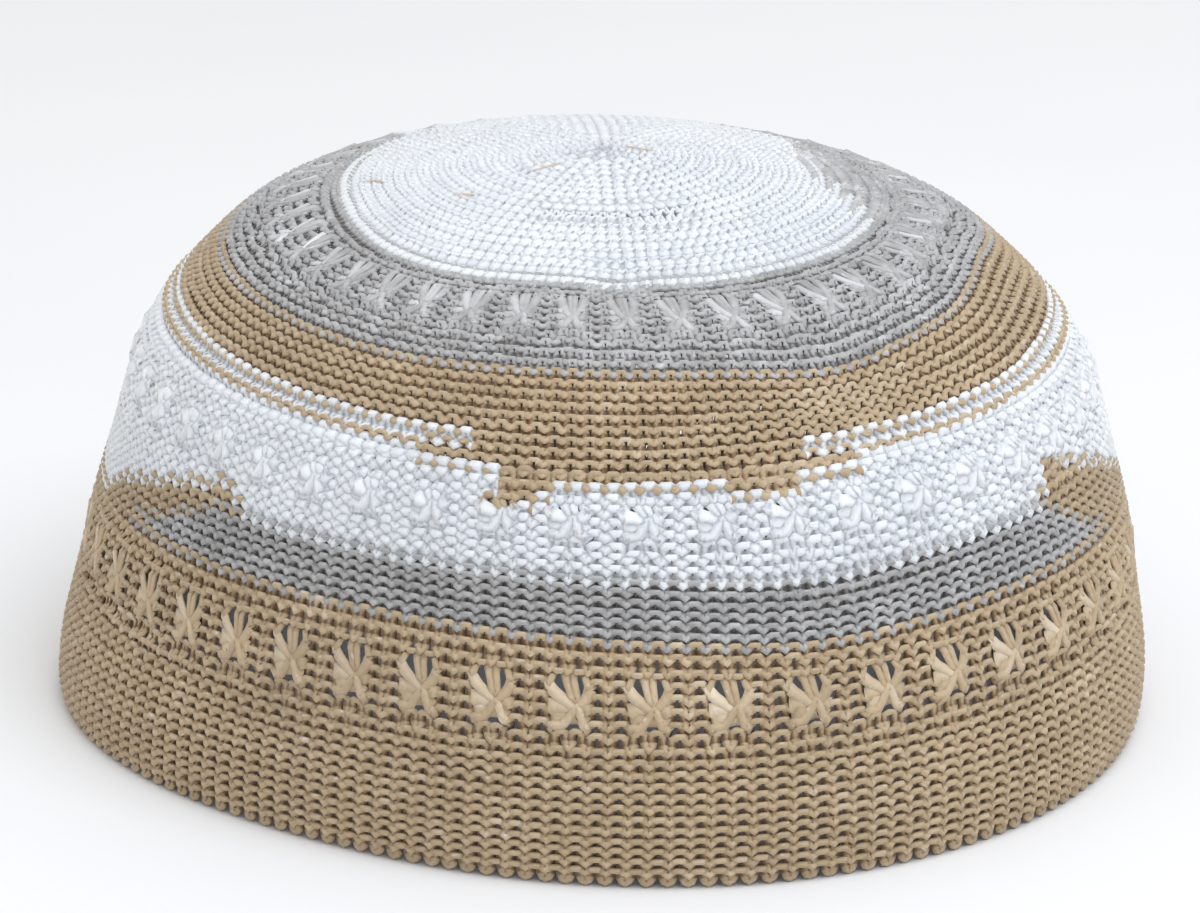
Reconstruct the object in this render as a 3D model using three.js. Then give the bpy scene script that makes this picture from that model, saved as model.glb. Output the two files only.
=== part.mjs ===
// Knitted prayer cap (kufi) for an adult head, about 57 cm around the rim.
//
// The cap is knitted in the round, purl side out, from one length of yarn after
// another. It is modelled as the seven bands that the knitter works, from the
// rim up to the crown. Each band is a closed ring of knitted wall, and the crown
// is a shallow dome, so the cap is hollow and open below. Stitches are left out.
//
// Millimetres, +Z up. The rim rests on Z = 0, the origin is under the middle of
// the cap, and the long axis of the oval rim lies along Y with the front at -Y.
import * as THREE from 'three';

// ---- driving dimensions ----------------------------------------------------
const WALL = 2.2; // thickness of the knitted wall
const GAP = 0.3; // left between neighbouring bands
const STEPS_AROUND = 48; // facets round each band
const STEP_ALONG = 6; // longest facet up the cloth

// Mean profile of the outer face, from the rim to the pole.
const PROFILE = [
  { height: 0.0, radius: 90.1 },
  { height: 3.5, radius: 90.6 },
  { height: 10.7, radius: 90.5 },
  { height: 22.3, radius: 88.5 },
  { height: 33.9, radius: 86.4 },
  { height: 44.6, radius: 83.6 },
  { height: 55.2, radius: 80.8 },
  { height: 65.1, radius: 76.0 },
  { height: 73.1, radius: 68.9 },
  { height: 79.3, radius: 61.4 },
  { height: 83.8, radius: 50.4 },
  { height: 86.8, radius: 37.7 },
  { height: 88.6, radius: 24.0 },
  { height: 89.1, radius: 0.0 },
];
const CAP_HEIGHT = PROFILE.at(-1).height;

// A soft hand-knitted cap isn't round. At a bearing b from the front (-Y) its
// radius is the mean one times 1 + OVAL cos 2b + egg cos 3b + square cos 4b.
const OVAL = 0.054;
const EGG_AT_RIM = 0.025;
const EGG_AT_POLE = -0.03;
const SQUARE_AT_RIM = -0.011; // gone at the pole
const FULL_RADIUS = 84; // inside this radius all of it fades towards the pole

// The cap leans: a level at the share h of the height shifts by
// linear * h + squared * h * h, and dips on one side by DIP of its own height.
const LEAN_X = { linear: -0.7, squared: 3.2 };
const LEAN_Y = { linear: -10.1, squared: 10.0 };
const DIP = 0.034;
const DIP_BEARING = THREE.MathUtils.degToRad(-25);

// Brings the origin under the middle of the cap.
const MIDDLE = { x: 0, y: -2.5 };

// The bands, rim first. `top` is the distance over the cloth from the rim to the
// band's upper edge, and the last band closes at the pole.
const BANDS = [
  { name: 'rim_band', top: 23, colour: 0xb49a75 },
  { name: 'side_lace_band', top: 40, colour: 0xc0a67f },
  { name: 'side_stripe_band', top: 50, colour: 0x9c9a98 },
  { name: 'upper_side_band', top: 67, colour: 0xe6e9ec },
  { name: 'shoulder_band', top: 83.5, colour: 0xc3a981 },
  { name: 'crown_lace_band', top: 105.5, colour: 0xb5b1ac },
  { name: 'crown_disc', top: null, colour: 0xeceff2 },
];

// ---- the cap's own shape -----------------------------------------------------
const profileCurve = new THREE.CatmullRomCurve3(
  PROFILE.map(({ height, radius }) => new THREE.Vector3(radius, height, 0)),
);
const PROFILE_LENGTH = profileCurve.getLength();

// The point at a distance over the cloth, `depth` below its outer face.
function wallPoint(along, depth) {
  const u = along / PROFILE_LENGTH;
  const point = profileCurve.getPointAt(u);
  const up = profileCurve.getTangentAt(u);
  const radius = point.x - depth * up.y;
  const height = point.y + depth * up.x;
  return new THREE.Vector2(radius, height);
}

// Moves a point of the round cap to its place on the oval, leaning one.
function shape(point) {
  const radius = Math.hypot(point.x, point.y);
  const bearing = Math.atan2(point.x, -point.y);
  const h = point.z / CAP_HEIGHT;
  const fade = Math.min(1, radius / FULL_RADIUS);
  const egg = EGG_AT_RIM + (EGG_AT_POLE - EGG_AT_RIM) * h;
  const square = SQUARE_AT_RIM * (1 - h);
  const plan =
    1 +
    fade *
      (OVAL * Math.cos(2 * bearing) +
        egg * Math.cos(3 * bearing) +
        square * Math.cos(4 * bearing));
  const reach = radius * plan;
  const dip = (DIP * h * Math.cos(bearing - DIP_BEARING) * reach) / FULL_RADIUS;
  return point.set(
    reach * Math.sin(bearing) + LEAN_X.linear * h + LEAN_X.squared * h * h - MIDDLE.x,
    -reach * Math.cos(bearing) + LEAN_Y.linear * h + LEAN_Y.squared * h * h - MIDDLE.y,
    point.z * (1 - dip),
  );
}

// ---- pieces ------------------------------------------------------------------
// Distances over the cloth from one edge of a band to the other, at even steps.
function steps(from, to) {
  const count = Math.max(2, Math.ceil((to - from) / STEP_ALONG));
  return Array.from({ length: count + 1 }, (_, i) => from + ((to - from) * i) / count);
}

// A band's section, up its outer face and down its inner one. The rim is level
// underneath, so that the cap rests flat.
function bandSection(bottom, top) {
  const along = steps(bottom, top);
  const outer = along.map((s) => wallPoint(s, 0));
  const inner = along.map((s) => wallPoint(s, WALL));
  if (bottom === 0) inner[0].y = 0;
  return [...outer, ...inner.reverse(), outer[0].clone()];
}

// The crown's section, which starts and ends on the axis.
function crownSection(bottom) {
  const along = steps(bottom, PROFILE_LENGTH);
  const outer = along.map((s) => wallPoint(s, 0));
  const inner = along.map((s) => wallPoint(s, WALL));
  outer.at(-1).x = 0;
  inner.at(-1).x = 0;
  return [...inner.reverse(), ...outer];
}

function bandMesh({ name, colour }, section) {
  const geometry = new THREE.LatheGeometry(section, STEPS_AROUND);
  geometry.rotateX(Math.PI / 2);
  const position = geometry.getAttribute('position');
  const point = new THREE.Vector3();
  for (let i = 0; i < position.count; i += 1) {
    shape(point.fromBufferAttribute(position, i));
    position.setXYZ(i, point.x, point.y, point.z);
  }
  geometry.computeVertexNormals();
  const cotton = new THREE.MeshStandardMaterial({ color: colour, roughness: 0.95, metalness: 0 });
  const mesh = new THREE.Mesh(geometry, cotton);
  mesh.name = name;
  return mesh;
}

// ---- the cap -------------------------------------------------------------------
const cap = new THREE.Group();
cap.name = 'prayer_cap';
let bottom = 0;
for (const band of BANDS) {
  const section =
    band.top === null ? crownSection(bottom) : bandSection(bottom, band.top - GAP / 2);
  cap.add(bandMesh(band, section));
  bottom = band.top + GAP / 2;
}

export default cap;
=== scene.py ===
"""A knitted prayer cap, dressed yarn by yarn round its frame.

The cap is knitted in the round and worn with the purl side out. Every round of
stitches is one yarn that runs round the cap in waves: its loops show in front
and its legs cross behind them. Lengths in the tables are millimetres along or
off the cloth, and bearings are degrees from the front of the cap (-Y) towards +X.
"""

import math

import bpy
import numpy as np
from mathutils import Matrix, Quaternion, Vector


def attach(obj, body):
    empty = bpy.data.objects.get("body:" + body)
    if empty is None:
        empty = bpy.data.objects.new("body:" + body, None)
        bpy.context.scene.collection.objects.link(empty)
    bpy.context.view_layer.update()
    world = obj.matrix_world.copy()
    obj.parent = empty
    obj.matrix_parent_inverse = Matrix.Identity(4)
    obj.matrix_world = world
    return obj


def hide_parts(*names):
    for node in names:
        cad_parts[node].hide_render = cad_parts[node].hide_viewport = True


MM = 0.001
TURN = 2.0 * math.pi

# ---- the form of the cap, as its frame has it ---------------------------------------

WALL = 2.2  # thickness of the knitted cloth

# The outer face of the cloth, from the rim to the pole: height, mean radius.
PROFILE = (
    (0.0, 90.1),
    (3.5, 90.6),
    (10.7, 90.5),
    (22.3, 88.5),
    (33.9, 86.4),
    (44.6, 83.6),
    (55.2, 80.8),
    (65.1, 76.0),
    (73.1, 68.9),
    (79.3, 61.4),
    (83.8, 50.4),
    (86.8, 37.7),
    (88.6, 24.0),
    (89.1, 0.0),
)
CAP_HEIGHT = PROFILE[-1][0]
OVAL = 0.054  # how far the plan is drawn out two ways,
EGG_AT_RIM = 0.025  # three ways,
EGG_AT_POLE = -0.03
SQUARE_AT_RIM = -0.011  # and four ways, as a share of its radius
FULL_RADIUS = 84.0  # inside this radius all of that fades
LEAN_X = (-0.7, 3.2)  # by the share of the height, and by its square
LEAN_Y = (-10.1, 10.0)
DIP = 0.034  # how far the cap sinks on one side, as a share of its height
DIP_BEARING = -25.0
MIDDLE_Y = -2.5

# ---- the knitting -------------------------------------------------------------------

# The yarns: radius, how far a loop stands out of the cloth, and how much broader than
# thick the yarn lies in it.
YARNS = {
    "sand": dict(radius=0.54, front=0.5, flat=1.0),
    "grey": dict(radius=0.51, front=0.5, flat=1.0),
    "white": dict(radius=0.72, front=0.3, flat=1.3),
}
THINNEST_YARN = min(yarn["radius"] for yarn in YARNS.values())
LOOP_RISE = 0.75  # half the height of a loop, in rounds
LOOP_SWELL = 0.1  # how far a loop swells past its legs, in wales
LOOP_SPREAD = 0.07  # how much wider a loop is than the gap to the next one, in wales
HEAD_BREADTH = 0.85  # the top of a loop stands on edge
FOOT_BREADTH = 1.15  # and the yarn between two loops lies flat, this much broader than thick
LEG_BREADTH = 3.9  # as do the legs, more so, behind the loops
LEG_DEPTH = 0.32  # how far behind the middle of the cloth the legs cross
PAINTED_SHADE_DEPTH = 0.22  # how far behind the middle of the cloth the painted crevice shade is darkest
LEG_STRAIGHT = 0.4  # below 1, the legs stay behind for more of theirs
LOOP_ROUND = 0.8  # below 1, the loops stay in front for more of their way
STITCH_POINTS = 9
YARN_SIDES = 5
ROUNDING = 0.01  # a point this near the end of a stretch, in wales, is still in it
LOOP_VARIES = 0.05  # how much a loop differs from the next in size, and in place, in millimetres
YARN_VARIES = 0.02  # how much its yarn's radius does
WALE_VARIES = 0.035  # how far it is pushed aside, in wales
ROUND_VARIES = 0.07  # how far a round wanders from level
DYE_VARIES = 0.5  # how much a stitch differs in shade
NEIGHBOURS = 9  # wales over which a round wanders
DYE_NEIGHBOURS = 5  # and over which its shade does
CAST_ON = 0.9  # the first round starts this far above the rim
OPEN_BEARING = -40.0  # where the cap is stretched most open
OPEN_WIDTH = 30.0  # and how far round it that is felt, in degrees
SNUG_FLATTENS = 2.2  # how much flatter the loops lie for each millimetre of fuller yarn
EDGE_HEIGHT = 1.5  # up to here the yarn of the rim is drawn in to a thin edge
EDGE_SHARE = 0.1  # of how far it stands out, at the least

# A lace motif takes four wales: two are knitted, and over the other two the yarn
# floats across. The motifs of a lace round stand on one column all the way up.
MOTIF_WALES = 4
COLUMN_BEARING = -39.7  # of one motif's middle, at the rim
COLUMN_DRIFT = -0.016  # degrees for each millimetre up the cloth

# The bands, rim first: where on the cloth each one ends, its rounds, its wales, its
# yarn, and the rounds, the knots and the floats of its lace. Shade is how much lighter
# its yarn is drawn, full how much fuller its yarn is in its first round and its last,
# and snug how much fuller away from where the cap is stretched open.
BANDS = (
    dict(name="rim_band", slot="sand_knit", top=23.0, rounds=12, wales=176, yarn="sand",
         full=(0.02, 0.02)),
    dict(name="side_lace_band", slot="sand_lace_knit", top=40.0, rounds=8, wales=176, yarn="sand",
         lace=(1, 4), knot=30.2, floats=("nose", "low", "middle", "top")),
    dict(name="side_stripe_band", slot="grey_knit", top=50.0, rounds=6, wales=176, yarn="grey",
         shade=-2.0),
    dict(name="upper_side_band", slot="white_knit", top=67.0, rounds=9, wales=176, yarn="white",
         snug=0.24, lace=(3, 5), knot=60.2, floats=("nose", "low", "top"), full=(-0.16, 0.06)),
    dict(name="shoulder_band", slot="light_sand_knit", top=83.5, rounds=9, wales=160, yarn="sand",
         shade=0.2, full=(-0.05, -0.04)),
    dict(name="crown_lace_band", slot="grey_lace_knit", top=105.5, rounds=12, wales=160, yarn="grey",
         shade=-0.1, full=(-0.02, 0.0), lace=(4, 8), knot=94.7,
         floats=("nose", "low", "middle", "middle", "top")),
    dict(name="crown_disc", slot="white_crown_knit", top=None, rounds=18, wales=132, yarn="white",
         shade=1.0, full=(0.25, 0.02), snug=0.12),
)
CROWN_SECTORS = 12
CROWN_EYE = 3.0  # radius at which the last full round is drawn together
GATHER_WALES = 8  # loops of the drawn-in eye itself
GATHER_RADIUS = 1.7  # where that round lies
GATHER_PITCH = 1.9  # and how tall its loops are
EYE_ASIDE = 15.0  # how far the eye is drawn aside over the cloth
EYE_BEARING = 136.0  # and to which bearing
EYE_DRAWN_FROM = 105.5  # the rounds are drawn aside from here up

# ---- the cloth as a surface ---------------------------------------------------------


def curve_through(points, steps=40):
    """A centripetal Catmull-Rom curve through the points."""
    points = np.asarray(points, float)
    before_first = 2 * points[0] - points[1]
    after_last = 2 * points[-1] - points[-2]
    path = np.vstack([before_first, points, after_last])
    share = np.linspace(0.0, 1.0, steps, endpoint=False)[:, None]
    pieces = []
    for before, start, end, after in zip(path, path[1:], path[2:], path[3:]):
        first, middle, last = (
            math.sqrt(math.dist(*pair))
            for pair in ((before, start), (start, end), (end, after))
        )
        leave = (start - before) / first - (end - before) / (first + middle) + (end - start) / middle
        arrive = (end - start) / middle - (after - start) / (middle + last) + (after - end) / last
        leave, arrive = leave * middle, arrive * middle
        bend = -3 * start + 3 * end - 2 * leave - arrive
        twist = 2 * start - 2 * end + leave + arrive
        pieces.append(start + leave * share + bend * share**2 + twist * share**3)
    return np.vstack(pieces + [points[-1:]])


OUTLINE = curve_through([(radius, height) for height, radius in PROFILE])
OUTLINE_STEPS = np.diff(OUTLINE, axis=0)
OUTLINE_LENGTHS = np.hypot(OUTLINE_STEPS[:, 0], OUTLINE_STEPS[:, 1])
ALONG = np.concatenate([[0.0], np.cumsum(OUTLINE_LENGTHS)])
ALONG_MIDDLES = (ALONG[1:] + ALONG[:-1]) / 2
OUTLINE_SLOPES = OUTLINE_STEPS / OUTLINE_LENGTHS[:, None]
CLOTH_LENGTH = ALONG[-1]


def on_cloth(along, bearing, out=0.0):
    """The point, in metres, at a distance along the cloth and a bearing in radians.

    out is how far it stands in front of the middle of the cloth."""
    depth = WALL / 2 - out
    slope_r = np.interp(along, ALONG_MIDDLES, OUTLINE_SLOPES[:, 0])
    slope_z = np.interp(along, ALONG_MIDDLES, OUTLINE_SLOPES[:, 1])
    radius = np.interp(along, ALONG, OUTLINE[:, 0]) - depth * slope_z
    height = np.interp(along, ALONG, OUTLINE[:, 1]) + depth * slope_r
    rise = height / CAP_HEIGHT
    fade = np.clip(radius / FULL_RADIUS, 0.0, 1.0)
    egg = EGG_AT_RIM + (EGG_AT_POLE - EGG_AT_RIM) * rise
    square = SQUARE_AT_RIM * (1 - rise)
    plan = 1 + fade * (OVAL * np.cos(2 * bearing) + egg * np.cos(3 * bearing) + square * np.cos(4 * bearing))
    reach = radius * plan
    dip = DIP * rise * np.cos(bearing - math.radians(DIP_BEARING)) * reach / FULL_RADIUS
    x = reach * np.sin(bearing) + LEAN_X[0] * rise + LEAN_X[1] * rise**2
    y = -reach * np.cos(bearing) + LEAN_Y[0] * rise + LEAN_Y[1] * rise**2 - MIDDLE_Y
    return np.stack([x, y, height * (1 - dip)], axis=-1) * MM


def drawn_aside(along, bearing):
    """Where a place of the crown comes to lie, its rounds drawn aside more and more up to the eye."""
    from_eye = CLOTH_LENGTH - along
    share = np.maximum(1 - from_eye / (CLOTH_LENGTH - EYE_DRAWN_FROM), 0)
    towards = math.radians(EYE_BEARING)
    x = from_eye * np.sin(bearing) + EYE_ASIDE * share * math.sin(towards)
    y = from_eye * np.cos(bearing) + EYE_ASIDE * share * math.cos(towards)
    return CLOTH_LENGTH - np.hypot(x, y), np.arctan2(x, y)


RING_STEPS = 720  # in which the way round the cap is measured


def bearings_round(along, shares):
    """Bearings at equal steps of length round the cap, from its column of motifs."""
    start = math.radians(COLUMN_BEARING + COLUMN_DRIFT * along)
    bearings = start + np.linspace(0.0, TURN, RING_STEPS + 1)
    ring = on_cloth(np.full_like(bearings, along), bearings)
    lengths = np.linalg.norm(np.diff(ring, axis=0), axis=1)
    travelled = np.concatenate([[0.0], np.cumsum(lengths)]) / lengths.sum()
    whole = np.floor(shares)
    return np.interp(shares - whole, travelled, bearings) + whole * TURN


# ---- yarn ---------------------------------------------------------------------------


class Yarns:
    """Collects the tubes of yarn of one piece, and makes one mesh of them."""

    def __init__(self):
        self.corners = []
        self.faces = []
        self.uvs = []
        self.finishes = []
        self.shades = []
        self.painted_shade_offsets = []
        self.count = 0

    def add(self, along, bearing, out, finish, shade, radius, broad=1.0):
        """A closed tube through the points, pressed flat to be broad times as wide as thick.

        out, finish, shade, radius and broad have one value for each point, or one for all."""
        centre = on_cloth(along, bearing, out)
        front = on_cloth(along, bearing, out + 0.5) - centre
        heading = np.roll(centre, -1, 0) - np.roll(centre, 1, 0)
        heading /= np.linalg.norm(heading, axis=1)[:, None]
        front -= heading * np.sum(front * heading, axis=1)[:, None]
        front /= np.linalg.norm(front, axis=1)[:, None]
        side = np.cross(heading, front)
        turn = np.arange(YARN_SIDES) * TURN / YARN_SIDES
        wide = np.broadcast_to(np.asarray(broad, float), len(centre))[:, None, None]
        thick = np.broadcast_to(np.asarray(radius, float) * MM, len(centre))[:, None, None] / np.sqrt(wide)
        forward = np.cos(turn)[None, :, None] * front[:, None]
        sideways = np.sin(turn)[None, :, None] * side[:, None] * wide
        corners = centre[:, None] + thick * (forward + sideways)
        points = len(centre)
        sides = np.arange(YARN_SIDES)
        next_sides = (sides + 1) % YARN_SIDES
        rings = np.arange(points)[:, None] * YARN_SIDES
        next_rings = (np.arange(1, points + 1) % points)[:, None] * YARN_SIDES
        here, beside = rings + sides, rings + next_sides
        there, there_beside = next_rings + sides, next_rings + next_sides
        quads = np.stack([here, beside, there_beside, there], axis=-1)
        steps = np.linalg.norm(np.diff(centre, axis=0, append=centre[:1]), axis=1)
        length = np.concatenate([[0.0], np.cumsum(steps)]) / MM
        u_here = np.repeat(length[:-1], YARN_SIDES)
        u_there = np.repeat(length[1:], YARN_SIDES)
        v_here = np.tile(sides / YARN_SIDES, points)
        v_beside = v_here + 1 / YARN_SIDES
        uv = np.stack([u_here, v_here, u_here, v_beside, u_there, v_beside, u_there, v_here], axis=-1)
        self.corners.append(corners.reshape(-1, 3))
        self.faces.append(quads.reshape(-1, 4) + self.count)
        self.uvs.append(uv.reshape(-1, 2))
        self.finishes.append(np.repeat(np.broadcast_to(finish, points), YARN_SIDES))
        self.shades.append(np.repeat(np.broadcast_to(shade, points), YARN_SIDES))
        # how far each corner of the yarn lies from where the painted crevice shade is darkest
        depth = np.broadcast_to(out, points)[:, None] + thick[:, :, 0] / MM * np.cos(turn)[None]
        self.painted_shade_offsets.append(np.abs(depth + PAINTED_SHADE_DEPTH).ravel())
        self.count += points * YARN_SIDES

    def mesh(self, name):
        """The mesh of all the tubes, with a map along the yarn and a shade for each point."""
        corners = np.vstack(self.corners)
        faces = np.vstack(self.faces)
        mesh = bpy.data.meshes.new(name)
        mesh.vertices.add(len(corners))
        mesh.vertices.foreach_set("co", corners.astype(np.float32).ravel())
        mesh.loops.add(faces.size)
        mesh.loops.foreach_set("vertex_index", faces.astype(np.int32).ravel())
        mesh.polygons.add(len(faces))
        mesh.polygons.foreach_set("loop_start", np.arange(0, faces.size, 4, dtype=np.int32))
        mesh.polygons.foreach_set("material_index", np.concatenate(self.finishes).astype(np.int32))
        mesh.polygons.foreach_set("use_smooth", np.ones(len(faces), bool))
        uv = mesh.uv_layers.new(name="along_yarn")
        uv.data.foreach_set("uv", np.vstack(self.uvs).astype(np.float32).ravel())
        # the shade of each stitch, and the offsets that set the painted crevice shade
        for attribute, values in (("shade", self.shades), ("off_painted_shade", self.painted_shade_offsets)):
            made = mesh.attributes.new(attribute, "FLOAT", "POINT")
            made.data.foreach_set("value", np.concatenate(values).astype(np.float32))
        mesh.update(calc_edges=True)
        mesh.validate()
        return mesh


# ---- the stitches -------------------------------------------------------------------

rng = np.random.default_rng(57)

# How the rounds of a lace motif cross it. Each float leaves the knitted wales at its
# edge (in rounds above its own round), so many wales from the middle, and over the reach
# (also in wales) it bends up or down to its top (millimetres above the knot), where it
# stands at its front. Its slack yarn lies flattened, so much broader than thick at its
# edges and at its core. Open is how far it pushes the wales beside it apart, in wales.
# Shade is how much lighter it is drawn: partly paler fibre, partly a painted highlight
# where the float catches the light. Its side highlight is painted too: how much lighter
# it is on its right than in its middle, on the side the light falls on.
FLOATS = {
    "nose": dict(leave=1.12, edge=0.4, reach=0.7, bend=0.9, top=0.1, front=0.65, broad=1.6, core=1.0,
                 open=-0.2, shade=0.6, painted_side_highlight=0.4),
    "low": dict(leave=0.85, edge=0.0, reach=0.8, bend=1.0, top=-1.7, front=0.2, broad=3.5, core=4.0,
                open=-0.1, shade=0.3, painted_side_highlight=0.0),
    "middle": dict(leave=1.0, edge=-0.1, reach=1.0, bend=0.9, top=-0.7, front=0.25, broad=5.0, core=4.0,
                   open=-0.1, shade=0.6, painted_side_highlight=-0.8),
    "top": dict(leave=1.12, edge=0.15, reach=1.0, bend=0.7, top=-0.5, front=0.45, broad=2.6, core=1.5,
                open=0.0, shade=0.8, painted_side_highlight=-1.0),
}
FLOAT_BLOOM = 1.2  # how much fuller the yarn is where it floats free
FLOAT_EDGE_FRONT = 0.45  # how far a float stands out where it leaves the knitted wales
KNOT_LEAN = 0.3  # how far the knots are pulled aside, in wales
LEAN_VARIES = 0.05  # and how much that differs from knot to knot
LIFT_VARIES = 0.15  # how far a knot is pulled up or down
TIE_REACH = 0.23  # the stretch of yarn in the loop that ties a knot, in wales each way
TIE_WIDTH = 0.2  # half the width of that loop, in wales
TIE_ROUND = 0.6  # below 1, it is rounder at its foot
TIE_PAST_KNOT = 0.4  # how far it reaches below the knot
TIE_FRONT = (0.3, 0.25)  # how far it stands out at its ends, and how much more at the knot
TIE_BREADTH = 1.2  # how much broader than thick it lies
OVER_MOTIF = 0.9  # as far from a motif's middle, in wales, the round above lies low
OVER_FLAT = 0.3  # its loops lowered to this share
OVER_LEVEL = 0.4  # about a line this far up
UNDER_MOTIF = 1.3  # as far from a motif's middle, in wales, the rounds below are lifted
UNDER_LIFT = 0.9  # by this much, the uppermost
UNDER_FADE = 0.35  # and each one below that by so much less
OPEN_FADE = 0.4  # how much less each further round is pushed apart by a motif


def wandering(count, amount, neighbours=1):
    """Seeded noise for each wale of a round, which runs on over so many neighbours."""
    noise = rng.normal(0.0, 1.0, count)
    if neighbours > 1:
        kernel = np.ones(neighbours) / math.sqrt(neighbours)
        noise = np.convolve(np.concatenate([noise, noise[:neighbours - 1]]), kernel, "valid")
    return amount * noise


def along_wales(values, wale):
    """A value of each wale, blended from one wale's middle to the next."""
    count = len(values)
    place = (wale - 0.5) % count
    low = np.floor(place).astype(int) % count
    share = place - np.floor(place)
    return values[low] * (1 - share) + values[(low + 1) % count] * share


# Where the rounds run out of level: the bearing and the place on the cloth, how
# far that is felt round the cap (degrees) and up it (millimetres), and the rise.
WAVES = (
    dict(bearing=-66, along=43, wide=26, tall=12, rise=1.6),
    dict(bearing=-22, along=45, wide=13, tall=12, rise=-1.6),
    dict(bearing=-50, along=96, wide=22, tall=18, rise=2.2),
    dict(bearing=-12, along=83, wide=12, tall=9, rise=-2.2),
    dict(bearing=33, along=84, wide=15, tall=14, rise=3.5),
    dict(bearing=-130, along=106, wide=28, tall=8, rise=2.0),
    dict(bearing=-42, along=107, wide=6, tall=5, rise=-1.2),
    dict(bearing=-38, along=129.3, wide=40, tall=1.6, rise=0.3),
    dict(bearing=-38, along=126.0, wide=40, tall=1.6, rise=-0.2),
)


def out_of_level(bearing, along):
    """How far the rounds rise or fall at a bearing (radians)."""
    rise = 0.0
    for wave in WAVES:
        apart = np.degrees(bearing) - wave["bearing"]
        apart = (apart + 180.0) % 360.0 - 180.0
        near = np.exp(-((apart / wave["wide"]) ** 2) - ((along - wave["along"]) / wave["tall"]) ** 2)
        rise = rise + wave["rise"] * near
    return rise


# Where the dyed yarn changes colour part way round: in each round, the bearings
# between which it is another colour than the rest of its band.
PATCHES = (
    # the grey stripe runs out in tips, with sand between them and the white
    dict(band="side_stripe_band", round=0, start=22, end=244, yarn="sand"),
    dict(band="side_stripe_band", round=1, start=19, end=248, yarn="sand"),
    dict(band="side_stripe_band", round=2, start=16, end=251, yarn="sand"),
    dict(band="side_stripe_band", round=3, start=14, end=254, yarn="sand"),
    dict(band="side_stripe_band", round=4, start=12, end=258, yarn="sand"),
    dict(band="side_stripe_band", round=5, start=10, end=261, yarn="sand"),
    dict(band="side_stripe_band", round=0, start=41, end=232, yarn="white"),
    dict(band="side_stripe_band", round=1, start=38, end=235, yarn="white"),
    dict(band="side_stripe_band", round=2, start=35, end=238, yarn="white"),
    dict(band="side_stripe_band", round=3, start=32, end=241, yarn="white"),
    dict(band="side_stripe_band", round=4, start=29, end=245, yarn="white"),
    dict(band="side_stripe_band", round=5, start=26, end=250, yarn="white"),
    dict(band="upper_side_band", round=0, start=9, end=23, yarn="sand"),
    dict(band="upper_side_band", round=1, start=10, end=19, yarn="sand"),
    dict(band="upper_side_band", round=2, start=11, end=14, yarn="sand"),
    dict(band="upper_side_band", round=0, start=254, end=266, yarn="sand"),
    dict(band="upper_side_band", round=1, start=260, end=264, yarn="sand"),
    # sand hangs below the shoulder in front
    dict(band="upper_side_band", round=6, start=-58, end=-53, yarn="sand"),
    dict(band="upper_side_band", round=7, start=-58, end=-50, yarn="sand"),
    dict(band="upper_side_band", round=7, start=-30, end=-22, yarn="sand"),
    dict(band="upper_side_band", round=8, start=-58, end=-15, yarn="sand"),
    # and white runs up into it at the sides and behind, with one line of sand
    dict(band="shoulder_band", round=0, start=136, end=292, yarn="white"),
    dict(band="shoulder_band", round=1, start=-22, end=136, yarn="white"),
    dict(band="shoulder_band", round=2, start=136, end=300, yarn="white"),
    # the white of the crown runs out over the back, and the grey in on the right
    dict(band="crown_lace_band", round=7, start=140, end=168, yarn="white"),
    dict(band="crown_lace_band", round=8, start=136, end=172, yarn="white"),
    dict(band="crown_lace_band", round=9, start=128, end=178, yarn="white"),
    dict(band="crown_lace_band", round=10, start=118, end=188, yarn="white"),
    dict(band="crown_lace_band", round=11, start=108, end=197, yarn="white"),
    dict(band="crown_disc", round=0, start=28, end=86, yarn="grey"),
    dict(band="crown_disc", round=1, start=35, end=79, yarn="grey"),
    dict(band="crown_disc", round=2, start=40, end=74, yarn="grey"),
    dict(band="crown_disc", round=3, start=45, end=67, yarn="grey"),
)

# Rounds pulled out of shape between two bearings: by what share their yarn is thinner,
# which leaves a row of holes, and their loops are lower, which leaves a line, and how
# far that line stands out of the cloth.
PULLED = (
    dict(band="shoulder_band", round=0, start=-15, end=136, thin=0.2, low=0.7, out=0.6),
    dict(band="shoulder_band", round=1, start=136, end=292, thin=0.2, low=0.7, out=0.6),
    dict(band="crown_disc", round=6, start=-38, end=-14, thin=0.4, low=0.0, out=0.0),
    dict(band="crown_disc", round=7, start=-68, end=-14, thin=0.64, low=0.0, out=0.0),
    dict(band="crown_disc", round=8, start=-68, end=-14, thin=0.52, low=0.0, out=0.0),
)

# Stray sand threads caught in the crown: from and to which bearing, and place on the cloth.
STRAY_THREADS = (
    dict(start=-95, end=-89, low=136.0, high=141.0),
    dict(start=44, end=56, low=142.0, high=146.5),
    dict(start=-137, end=-132, low=111.0, high=114.0),
    dict(start=-102, end=-96, low=121.5, high=123.5),
)
STRAY_RADIUS = 0.12
STRAY_SHADE = 2.5  # paler than the bands of sand
STRAY_FRONT = 0.95  # how far they lie out of the cloth, over its loops
STRAY_POINTS = 16


def between(bearings, stretch):
    """Which bearings (degrees) are in a stretch of a round, from its start up to its end."""
    return (bearings - stretch["start"]) % 360 <= (stretch["end"] - stretch["start"]) % 360


def colours_round(band, number, bearings):
    """The colour of each stitch of a round, from its bearing in degrees."""
    colours = np.full(len(bearings), band["yarn"])
    for patch in PATCHES:
        if (patch["band"], patch["round"]) == (band["name"], number):
            colours = np.where(between(bearings, patch), patch["yarn"], colours)
    return colours


def drawn_snug(bearings):
    """How snug the stitches sit at each bearing (radians): 0 where the cap is open, up to 1."""
    from_open = (np.degrees(bearings) - OPEN_BEARING + 180) % 360 - 180
    return 1 - np.exp(-((from_open / OPEN_WIDTH) ** 2))


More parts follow.
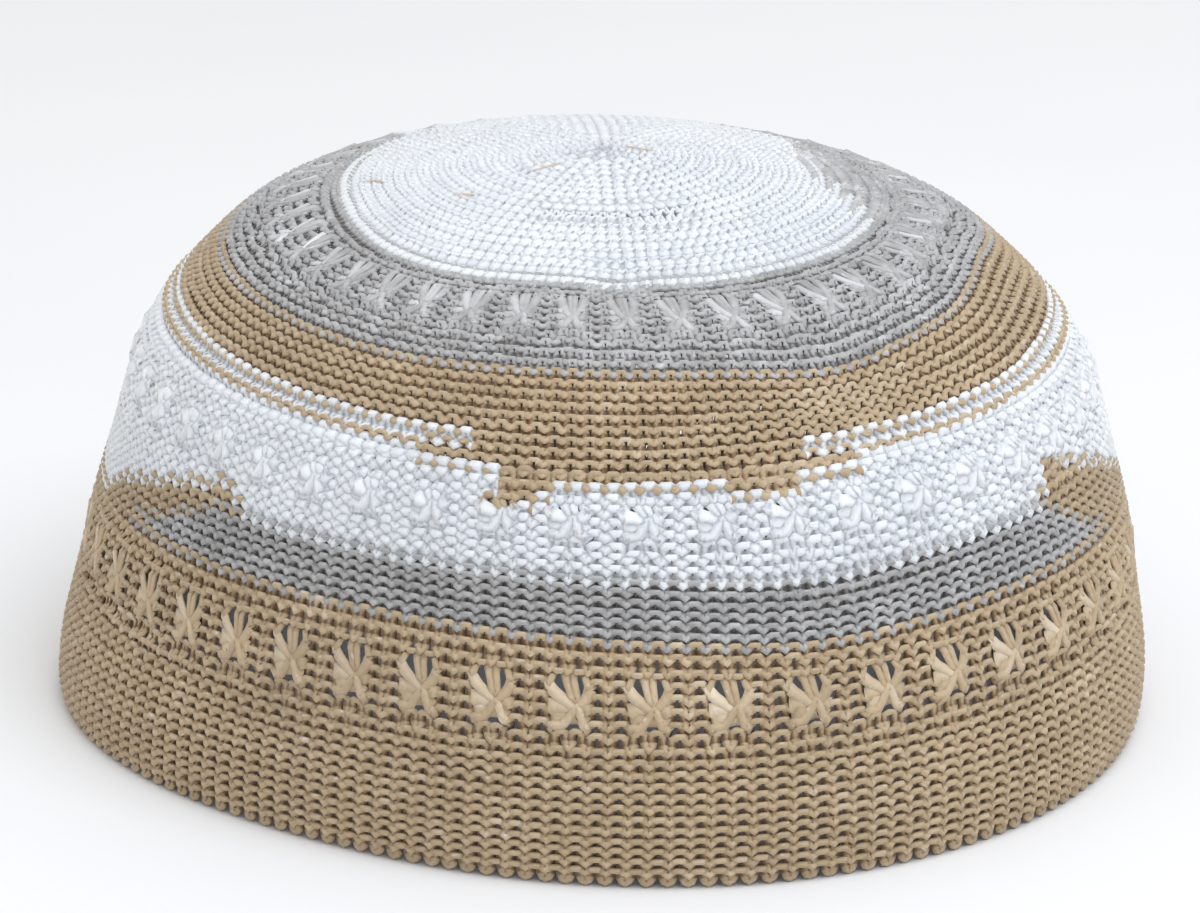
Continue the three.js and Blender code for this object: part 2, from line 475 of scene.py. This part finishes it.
def lace_motifs(band, number, along, pitch, wale, strand):
    """Bends a round where it passes the motifs of a lace band: below them, across them,
    or above them, where its loops reach down and tie the knots."""
    first, last = band["lace"]
    motifs = band["wales"] // MOTIF_WALES
    beside = (wale + MOTIF_WALES / 2) % MOTIF_WALES - MOTIF_WALES / 2  # wales from a motif's middle
    spread = np.abs(beside)
    motif = np.floor((wale + MOTIF_WALES / 2) / MOTIF_WALES).astype(int) % motifs
    lean = band["lean"][motif]
    to_knot = band["knot"] + band["lift"][motif] - along
    crossing = FLOATS[band["floats"][min(max(number, first), last) - first]]
    near = max(0.0, 1 - OPEN_FADE * max(first - number, number - last, 0))
    opened = near * crossing["open"] * np.sin(beside * math.pi / 2)
    strand["across"] = strand["across"] + opened
    if first <= number <= last:
        floating = spread < crossing["leave"]
        share = np.minimum(spread / crossing["leave"], 1)
        gathered = (1 - np.minimum(spread / crossing["reach"], 1)) ** crossing["bend"]
        edge = crossing["edge"] * pitch
        rise = edge + (to_knot + crossing["top"] - edge) * gathered
        front = FLOAT_EDGE_FRONT + (crossing["front"] - FLOAT_EDGE_FRONT) * gathered
        breadth = crossing["core"] + (crossing["broad"] - crossing["core"]) * share
        strand["up"] = np.where(floating, rise, strand["up"])
        strand["across"] = np.where(floating, opened + lean * (1 - share**2), strand["across"])
        strand["out"] = np.where(floating, front, strand["out"])
        strand["broad"] = np.where(floating, breadth, strand["broad"])
        strand["thick"] = np.where(floating, strand["thick"] * FLOAT_BLOOM, strand["thick"])
        # painted highlight: a float is drawn lighter where it catches the light, and more so on one side
        shade = crossing["shade"] + crossing["painted_side_highlight"] * np.sign(beside)
        strand["shade"] = np.where(floating, strand["shade"] + shade, strand["shade"])
    elif number == last + 1:
        flat = np.where(spread < OVER_MOTIF, OVER_FLAT, 1.0)
        low = strand["up"] * flat + (1 - flat) * OVER_LEVEL
        tie = spread <= TIE_REACH + ROUNDING
        turned = np.clip(beside / TIE_REACH, -1, 1) * math.pi / 2
        reach = np.clip(np.cos(turned), 0, 1) ** TIE_ROUND
        looped = TIE_WIDTH * np.sin(turned) - beside + lean * reach
        strand["up"] = np.where(tie, (to_knot + TIE_PAST_KNOT) * reach, low)
        strand["across"] = np.where(tie, looped, strand["across"])
        strand["out"] = np.where(tie, TIE_FRONT[0] + TIE_FRONT[1] * reach, strand["out"])
        strand["broad"] = np.where(tie, TIE_BREADTH, strand["broad"])
    elif number < first:
        lift = max(0.0, UNDER_LIFT - UNDER_FADE * (first - 1 - number))
        strand["up"] = strand["up"] + lift * np.clip(UNDER_MOTIF - spread, 0.0, 1.0)


def pull_out_of_shape(band, number, centres, wale, strand):
    """Thins and flattens the loops of a round where it is pulled."""
    for stretch in PULLED:
        if (stretch["band"], stretch["round"]) == (band["name"], number):
            pulled = along_wales(1.0 * between(np.degrees(centres), stretch), wale)
            strand["thick"] = strand["thick"] * (1 - stretch["thin"] * pulled)
            strand["up"] = strand["up"] * (1 - stretch["low"] * pulled)
            strand["out"] = strand["out"] * (1 - stretch["low"] * pulled) + stretch["out"] * pulled
            strand["broad"] = strand["broad"] ** (1 - pulled)


def round_of_yarn(yarns, band, number, along, pitch, wales, palette):
    """Adds one round: a wave of stitches, with a float and a gathered knot at each lace motif."""
    wale = np.arange(wales * STITCH_POINTS) / STITCH_POINTS
    angle = TURN * wale
    centres = bearings_round(along, (np.arange(wales) + 0.5) / wales)
    colours = colours_round(band, number, np.degrees(centres))
    radius, front, flat = (
        along_wales(np.array([YARNS[colour][key] for colour in colours]), wale)
        for key in ("radius", "front", "flat")
    )
    full = np.interp(number, (0, band["rounds"]), band.get("full", (0, 0)))
    snug = along_wales(band.get("snug", 0) * drawn_snug(centres), wale)
    front = front * (1 - SNUG_FLATTENS * snug)
    loops = along_wales(1 + wandering(wales, LOOP_VARIES), wale)
    dye = wandering(wales, DYE_VARIES) + wandering(wales, DYE_VARIES, DYE_NEIGHBOURS)
    across = LOOP_SWELL * np.sin(2 * angle) - LOOP_SPREAD * np.sin(angle)
    facing = np.cos(2 * angle)  # 1 in front, where loops turn, and -1 behind, where legs cross
    in_front, behind = np.maximum(facing, 0) ** LOOP_ROUND, np.maximum(-facing, 0) ** LEG_STRAIGHT
    turning = (FOOT_BREADTH + HEAD_BREADTH) / 2 + (FOOT_BREADTH - HEAD_BREADTH) / 2 * np.cos(angle)
    up = -LOOP_RISE * pitch * np.cos(angle) * loops + along_wales(wandering(wales, LOOP_VARIES), wale)
    strand = {
        "thick": radius + full + snug + along_wales(wandering(wales, YARN_VARIES), wale),
        "across": across + along_wales(wandering(wales, WALE_VARIES), wale),
        "up": up + along_wales(wandering(wales, ROUND_VARIES, NEIGHBOURS), wale),
        "out": (front * in_front - LEG_DEPTH * behind) * loops,
        "broad": flat * turning + (LEG_BREADTH - flat * turning) * behind,
        "shade": along_wales(dye + band.get("shade", 0), wale),
    }
    if "lace" in band:
        lace_motifs(band, number, along, pitch, wale, strand)
    pull_out_of_shape(band, number, centres, wale, strand)
    bearing = bearings_round(along, (wale + strand["across"]) / wales)
    place = along + strand["up"] + out_of_level(bearing, along)
    strand["out"] = strand["out"] * np.clip(place / EDGE_HEIGHT, EDGE_SHARE, 1.0)
    place, bearing = drawn_aside(np.maximum(place, THINNEST_YARN), bearing)
    finish = np.repeat([palette.index(colour) for colour in colours], STITCH_POINTS)
    yarns.add(place, bearing, strand["out"], finish, strand["shade"], strand["thick"], strand["broad"])


def stray_threads(yarns, finish):
    """The stray threads, which lie loosely over the rounds, each doubled back on itself."""
    turn = np.arange(STRAY_POINTS) * TURN / STRAY_POINTS
    share = 0.5 - 0.5 * np.cos(turn)
    for thread in STRAY_THREADS:
        bearing = np.radians(thread["start"] + (thread["end"] - thread["start"]) * share**2)
        along = thread["low"] + (thread["high"] - thread["low"]) * share + STRAY_RADIUS * np.sin(turn)
        along, bearing = drawn_aside(along, bearing)
        yarns.add(along, bearing, STRAY_FRONT, finish, STRAY_SHADE, STRAY_RADIUS)


def crown_wales(band, number):
    """The wales of a round of the crown, which narrows sector by sector in even steps."""
    widest = band["wales"] // CROWN_SECTORS
    step = int(number * widest / band["rounds"])
    return CROWN_SECTORS * (widest - step)


def knit_band(band, bottom, finishes):
    """Knits one band of the cap, as one mesh; gives where on the cloth it ends."""
    palette = list(finishes)
    yarns = Yarns()
    top = band["top"] or CLOTH_LENGTH - CROWN_EYE
    pitch = (top - bottom) / band["rounds"]
    motifs = band["wales"] // MOTIF_WALES
    band["lean"] = rng.normal(KNOT_LEAN, LEAN_VARIES, motifs)
    band["lift"] = rng.normal(0.0, LIFT_VARIES, motifs)
    for number in range(band["rounds"]):
        along = bottom + (number + 0.5) * pitch
        wales = band["wales"] if band["top"] else crown_wales(band, number)
        round_of_yarn(yarns, band, number, along, pitch, wales, palette)
    if not band["top"]:
        eye = CLOTH_LENGTH - GATHER_RADIUS
        round_of_yarn(yarns, band, band["rounds"], eye, GATHER_PITCH, GATHER_WALES, palette)
        stray_threads(yarns, palette.index("sand"))
    mesh = yarns.mesh(band["name"] + "_knit")
    for finish in finishes.values():
        mesh.materials.append(finish)
    piece = bpy.data.objects.new(band["name"] + "_knit", mesh)
    bpy.context.scene.collection.objects.link(piece)
    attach(piece, "root")
    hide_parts(band["name"])
    return top


# ---- finishes -----------------------------------------------------------------------


def linear(hex_colour):
    """The linear colour of an sRGB hex value."""
    channels = (int(hex_colour[i:i + 2], 16) / 255 for i in (1, 3, 5))
    return (*(c / 12.92 if c <= 0.04045 else ((c + 0.055) / 1.055) ** 2.4 for c in channels), 1.0)


def add(tree, kind, settings=None, inputs=None):
    """Adds a node; an input is a value, or another node's output to link to."""
    made = tree.nodes.new("ShaderNode" + kind)
    for name, value in (settings or {}).items():
        setattr(made, name, value)
    for name, value in (inputs or {}).items():
        socket = made.inputs[name]
        if isinstance(value, bpy.types.NodeSocket):
            tree.links.new(value, socket)
        else:
            socket.default_value = value
    return made


PLY_LENGTH = 1.5  # millimetres of yarn to one turn of its plies
PLIES = 2.0
PLY_DEPTH = 0.25 * MM
GLOW_DEPTH = 1.8 * MM  # how far light is carried through bleached yarn
DYE_CLOUDS = 45.0  # to the metre: soft clouds of dye, 2 cm across, over many stitches
DYE_SPECKS = 350.0  # and specks of it, 3 mm across
FIBRE_STRETCH = (0.55, 3.0, 1.0)  # fibres run along the yarn, some 2 mm long, and finer across it
CLOUD_TONES = (0.95, 1.05)
SHADE_TONES = (0.88, 1.12)  # of a stitch of shade -2 and of shade 2
PALING_SHADES = (0.5, 7.0)  # between these shades a stitch turns from its dye to pale; the painted highlights of the floats pale so as well
FIBRES_SHOW = (0.62, 0.72)  # the highest of the fibres show pale
PAINTED_SHADE_REACH = (0.1, 0.28)  # millimetres from the darkest crevices: painted shade all dark, and all clear
FIBRE_ROUGHNESS = 0.6  # how rough the fibres are against the ridges of the plies


def matt_finish(name, roughness, specular):
    """A matt material; gives it with its nodes and its shader."""
    finish = bpy.data.materials.new(name)
    finish.use_nodes = True
    shader = finish.node_tree.nodes["Principled BSDF"]
    shader.inputs["Roughness"].default_value = roughness
    shader.inputs["Specular IOR Level"].default_value = specular
    return finish, finish.node_tree, shader


def yarn_dye(tree, place, fibres, base, pale, deep, melange, fleck):
    """The dyed yarn's colour: mottled with a deeper one and flecked with a paler one,
    and paler again, up to its pale colour, by the shade of the stitch, which also carries
    the painted highlights of the lace floats."""
    shade = add(tree, "Attribute", {"attribute_name": "shade"}).outputs["Fac"]
    anywhere = place.outputs["Object"]
    specks = add(tree, "TexNoise", inputs={"Vector": anywhere, "Scale": DYE_SPECKS, "Detail": 3.0})
    clouds = add(tree, "TexNoise", inputs={"Vector": anywhere, "Scale": DYE_CLOUDS, "Detail": 2.0})
    dye = add(tree, "MapRange", inputs={0: specks.outputs[0], 1: 0.3, 2: 0.7, 3: 0.0, 4: melange})
    mottled = add(tree, "Mix", {"data_type": "RGBA"},
                  {0: dye.outputs[0], 6: linear(base), 7: linear(deep)})
    showing = add(tree, "MapRange",
                  inputs={0: fibres.outputs[0], 1: FIBRES_SHOW[0], 2: FIBRES_SHOW[1], 3: 0.0, 4: fleck})
    flecked = add(tree, "Mix", {"data_type": "RGBA"},
                  {0: showing.outputs[0], 6: mottled.outputs[2], 7: linear(pale)})
    toward_pale = add(tree, "MapRange",
                   inputs={0: shade, 1: PALING_SHADES[0], 2: PALING_SHADES[1], 3: 0.0, 4: 1.0})
    paled = add(tree, "Mix", {"data_type": "RGBA"},
                {0: toward_pale.outputs[0], 6: flecked.outputs[2], 7: linear(pale)})
    tone = add(tree, "MapRange", {"clamp": False},
               {0: shade, 1: -2.0, 2: 2.0, 3: SHADE_TONES[0], 4: SHADE_TONES[1]})
    cloudy = add(tree, "MapRange",
                 inputs={0: clouds.outputs[0], 1: 0.3, 2: 0.7, 3: CLOUD_TONES[0], 4: CLOUD_TONES[1]})
    strength = add(tree, "Math", {"operation": "MULTIPLY"}, {0: tone.outputs[0], 1: cloudy.outputs[0]})
    return add(tree, "VectorMath", {"operation": "SCALE"},
               {0: paled.outputs[2], "Scale": strength.outputs[0]})


def paint_crevice_shade(tree, dyed, painted_crevice_shade):
    """The colour of the yarn, with painted shade: a darker colour painted into the crevices between its
    stitches, where shade falls.
    """
    off_painted_shade = add(tree, "Attribute", {"attribute_name": "off_painted_shade"})
    out_of_painted_shade = add(tree, "MapRange", {"interpolation_type": "SMOOTHSTEP"},
                {0: off_painted_shade.outputs["Fac"], 1: PAINTED_SHADE_REACH[0], 2: PAINTED_SHADE_REACH[1], 3: 0.0, 4: 1.0})
    return add(tree, "Mix", {"data_type": "RGBA"},
               {0: out_of_painted_shade.outputs[0], 6: linear(painted_crevice_shade), 7: dyed.outputs[0]})


def ply_ridges(tree, place, fibres):
    """The plies wound round each other, with fibres on them, as fine relief."""
    split = add(tree, "SeparateXYZ", inputs={0: place.outputs["UV"]})
    turns = add(tree, "Math", {"operation": "DIVIDE"}, {0: split.outputs["X"], 1: PLY_LENGTH})
    winding = add(tree, "Math", {"operation": "MULTIPLY_ADD"},
                  {0: split.outputs["Y"], 1: PLIES, 2: turns.outputs[0]})
    ply = add(tree, "Math", {"operation": "PINGPONG"}, {0: winding.outputs[0], 1: 0.5})
    rough = add(tree, "Math", {"operation": "MULTIPLY_ADD"},
                {0: fibres.outputs[0], 1: FIBRE_ROUGHNESS, 2: ply.outputs[0]})
    return add(tree, "Bump", inputs={"Height": rough.outputs[0], "Strength": 0.5, "Distance": PLY_DEPTH})


def cotton_yarn(name, base, pale, deep, painted_crevice_shade, melange=0.5, fleck=0.5, glow=0.0, painted_glow=0.0):
    """Two-ply cotton yarn, softly spun: matt, with a faint halo of fibres, slightly
    uneven in its dye, with paler fibres here and there and its plies as fine ridges."""
    finish, tree, shader = matt_finish(name, 0.9, 0.25)
    shader.inputs["Sheen Weight"].default_value = 0.25
    shader.inputs["Sheen Roughness"].default_value = 0.45
    shader.inputs["Subsurface Weight"].default_value = glow
    shader.inputs["Subsurface Radius"].default_value = (1.0, 1.0, 1.0)
    shader.inputs["Subsurface Scale"].default_value = GLOW_DEPTH
    shader.inputs["Emission Color"].default_value = linear("#e8f0ff")  # painted glow: a faint bluish emission that lifts the shade between the stitches
    shader.inputs["Emission Strength"].default_value = painted_glow
    place = add(tree, "TexCoord")
    fibre_place = add(tree, "Mapping", inputs={"Vector": place.outputs["UV"], "Scale": FIBRE_STRETCH})
    fibres = add(tree, "TexNoise", inputs={"Vector": fibre_place.outputs[0], "Scale": 1.0, "Detail": 3.0})
    dyed = yarn_dye(tree, place, fibres, base, pale, deep, melange, fleck)
    # painted shade: the crevices between stitches take a dark colour where shade would fall
    with_painted_shade = paint_crevice_shade(tree, dyed, painted_crevice_shade)
    relief = ply_ridges(tree, place, fibres)
    tree.links.new(with_painted_shade.outputs[2], shader.inputs["Base Color"])
    tree.links.new(relief.outputs[0], shader.inputs["Normal"])
    return finish


def matt_paper():
    """A sweep of matt paper: nearly white, with the faintest mottle, 11 cm across."""
    finish, tree, shader = matt_finish("matt_paper", 0.95, 0.1)
    place = add(tree, "TexCoord")
    mottle = add(tree, "TexNoise", inputs={"Vector": place.outputs["Object"], "Scale": 9.0, "Detail": 4.0})
    colour = add(tree, "Mix", {"data_type": "RGBA"},
                 {0: mottle.outputs[0], 6: linear("#f1f2f3"), 7: linear("#f6f6f6")})
    tree.links.new(colour.outputs[2], shader.inputs["Base Color"])
    return finish


# ---- the studio ---------------------------------------------------------------------

CAMERA_BEARING = -44.0
CAMERA_HEIGHT = 19.3  # degrees above the horizon
CAMERA_DISTANCE = 0.850
CAMERA_LENS = 151.0
CAMERA_ROLL = -1.0
AIM = Vector((0.0005, 0.002, 0.0394))  # the middle of the cap


def look_from(thing, bearing, height, distance, roll=0.0):
    """Puts a camera or a light at a bearing and a height (degrees), looking at the middle of the cap."""
    bearing, height = math.radians(bearing), math.radians(height)
    across, up = math.cos(height), math.sin(height)
    back = Vector((math.sin(bearing) * across, -math.cos(bearing) * across, up))
    rolled = Quaternion((0, 0, 1), math.radians(roll))
    thing.location = AIM + back * distance
    thing.rotation_mode = "QUATERNION"
    thing.rotation_quaternion = (-back).to_track_quat("-Z", "Y") @ rolled
    bpy.context.scene.collection.objects.link(thing)


def add_camera():
    """A long lens, so that the cap is drawn with little perspective."""
    data = bpy.data.cameras.new("camera")
    data.lens = CAMERA_LENS
    camera = bpy.data.objects.new("camera", data)
    look_from(camera, CAMERA_BEARING, CAMERA_HEIGHT, CAMERA_DISTANCE, CAMERA_ROLL)
    bpy.context.scene.camera = camera


def add_key_light():
    """One large soft square light in front and above, faintly blue."""
    data = bpy.data.lights.new("key", "AREA")
    data.size = 0.9
    data.energy = 9.3
    data.color = linear("#ebf2fd")[:3]
    look_from(bpy.data.objects.new("key", data), -8.0, 62.0, 1.2)


def add_floor():
    """The floor that the cap rests on."""
    bpy.ops.mesh.primitive_plane_add(size=8.0, location=(0.0, 0.0, 0.0))
    floor = bpy.context.active_object
    floor.name = "floor"
    floor.data.materials.append(matt_paper())


def add_surroundings():
    """Even light from all round, faintly warm."""
    world = bpy.data.worlds.new("studio")
    bpy.context.scene.world = world
    world.use_nodes = True
    world.node_tree.nodes["Background"].inputs["Color"].default_value = linear("#fffefc")
    world.node_tree.nodes["Background"].inputs["Strength"].default_value = 0.73
    bpy.context.scene.view_settings.view_transform = "Standard"


# ---- putting it together ------------------------------------------------------------

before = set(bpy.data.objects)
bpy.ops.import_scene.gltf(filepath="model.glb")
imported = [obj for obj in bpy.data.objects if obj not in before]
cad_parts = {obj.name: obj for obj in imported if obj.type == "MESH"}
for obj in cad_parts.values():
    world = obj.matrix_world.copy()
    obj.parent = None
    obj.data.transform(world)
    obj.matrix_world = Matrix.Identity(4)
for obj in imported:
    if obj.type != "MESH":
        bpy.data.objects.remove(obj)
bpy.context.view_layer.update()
bpy.ops.object.select_all(action="DESELECT")

add_camera()
add_key_light()
add_floor()
add_surroundings()

# Each yarn's fourth colour is the painted shade of its crevices; the white yarn also has a faint painted
# glow.
finishes = {
    "sand": cotton_yarn("sand_cotton_yarn", "#c2ad8e", "#e9e1d3", "#a99174", "#7d6347"),
    "grey": cotton_yarn("grey_marl_yarn", "#c3c2c1", "#edeff2", "#858281", "#6f6d6b"),
    "white": cotton_yarn("white_cotton_yarn", "#dcdfe1", "#e6e8ea", "#d7dadd", "#a4a5a6",
                         melange=0.3, glow=0.7, painted_glow=0.1),
}

bottom = CAST_ON
for band in BANDS:
    bottom = knit_band(band, bottom, finishes)
